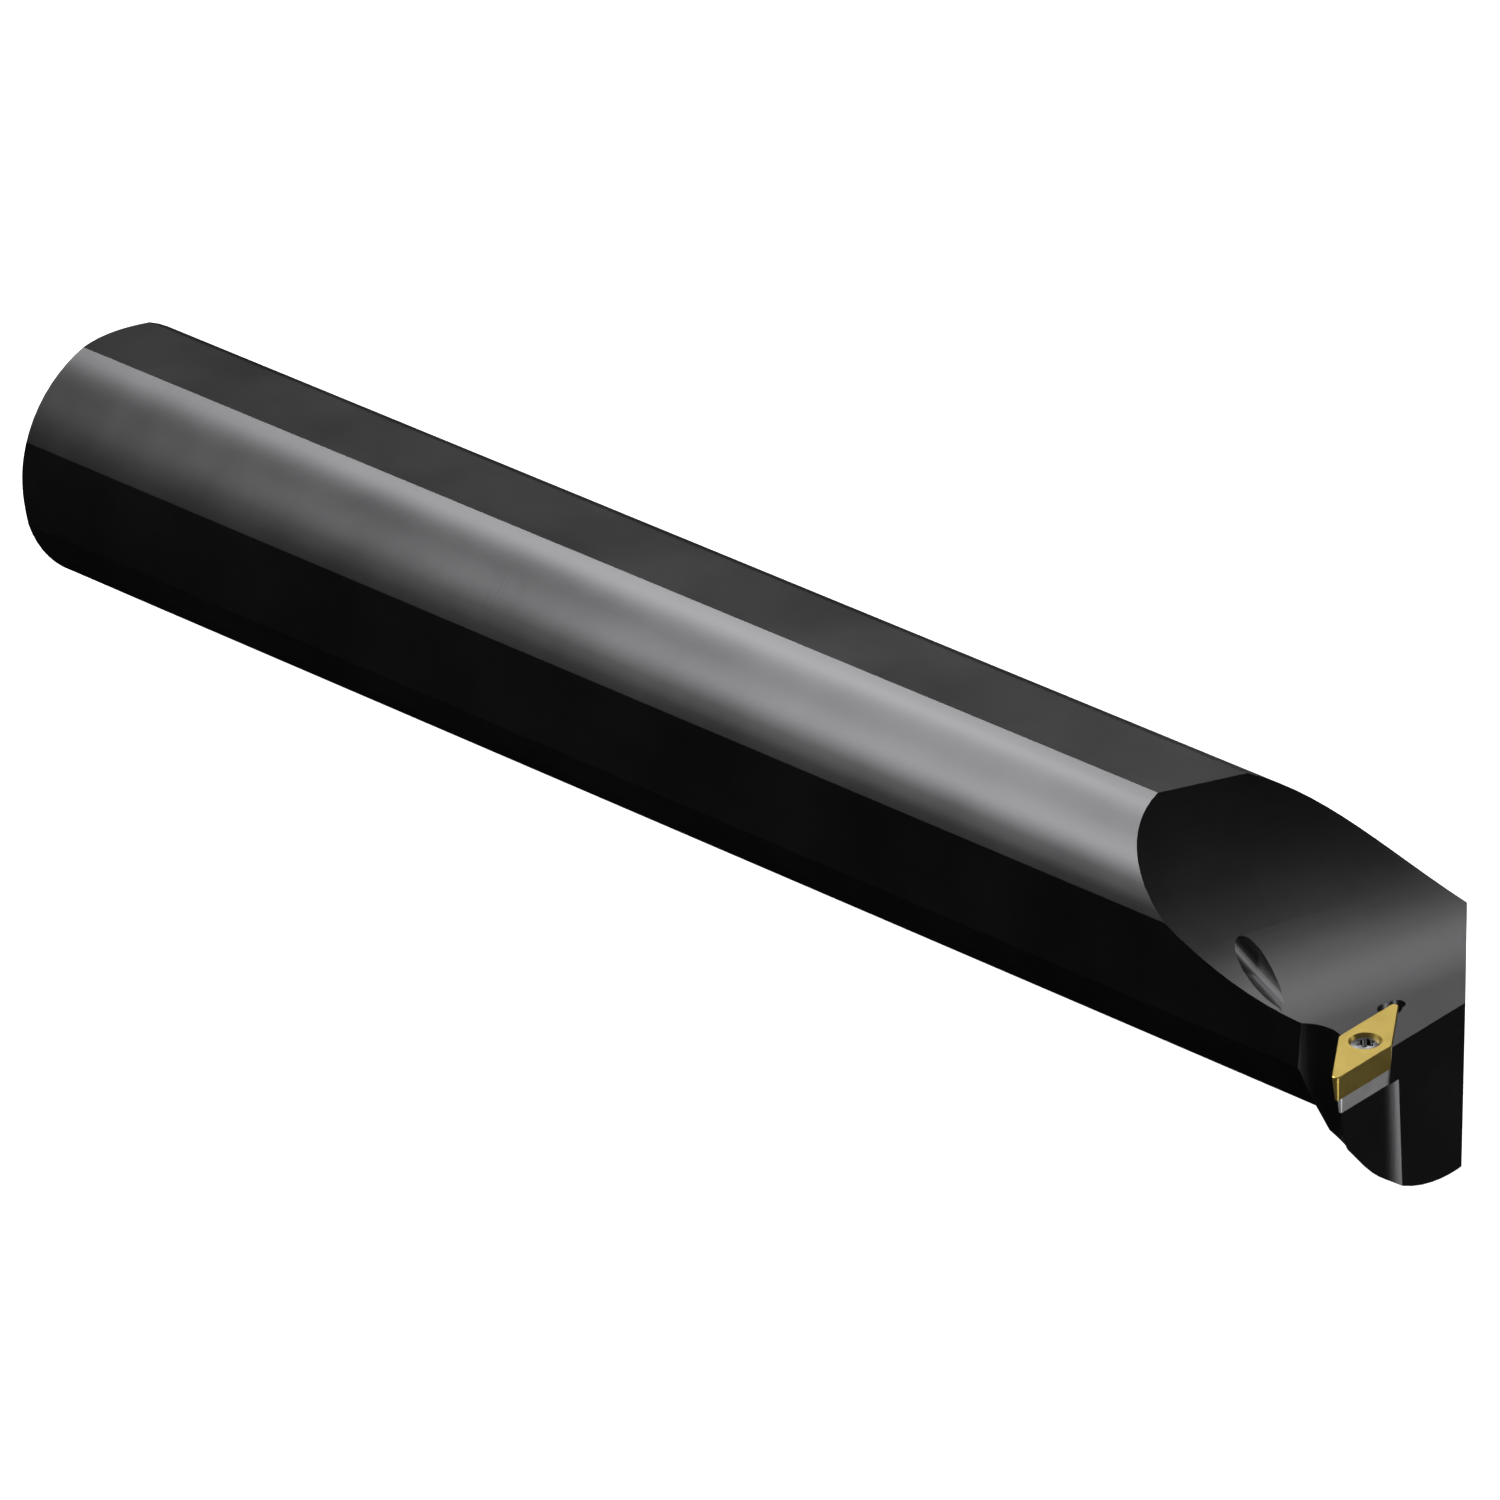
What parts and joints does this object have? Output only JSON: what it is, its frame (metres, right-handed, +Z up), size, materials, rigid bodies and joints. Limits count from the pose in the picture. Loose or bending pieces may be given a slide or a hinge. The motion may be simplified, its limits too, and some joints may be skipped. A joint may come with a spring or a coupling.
{
  "type": "internal boring bar",
  "caption": "Round boring bar with clamping flats, an eccentric head, a swept chip pocket, internal coolant and a small rhombic insert held by a screw on a shim.",
  "frame": {"origin": "centre of the rear end face, on the shank's axis and at the mouth of the coolant inlet", "axes": "+X along the shank towards the cutting end, +Z up and square to the top clamping flat, and the insert's nose points to -Y"},
  "size_m": [0.35, 0.06, 0.0537],
  "materials": {
    "bar_steel": "black oxide, satin",
    "carbide": "ground, uncoated",
    "coated_carbide": "gold coating, satin",
    "screw_steel": "oiled dark steel"
  },
  "bodies": {
    "root": {"bar": "bar_steel", "shim": "carbide", "shim_screw": "screw_steel", "insert": "coated_carbide", "insert_screw": "screw_steel"}
  },
  "joints": []
}
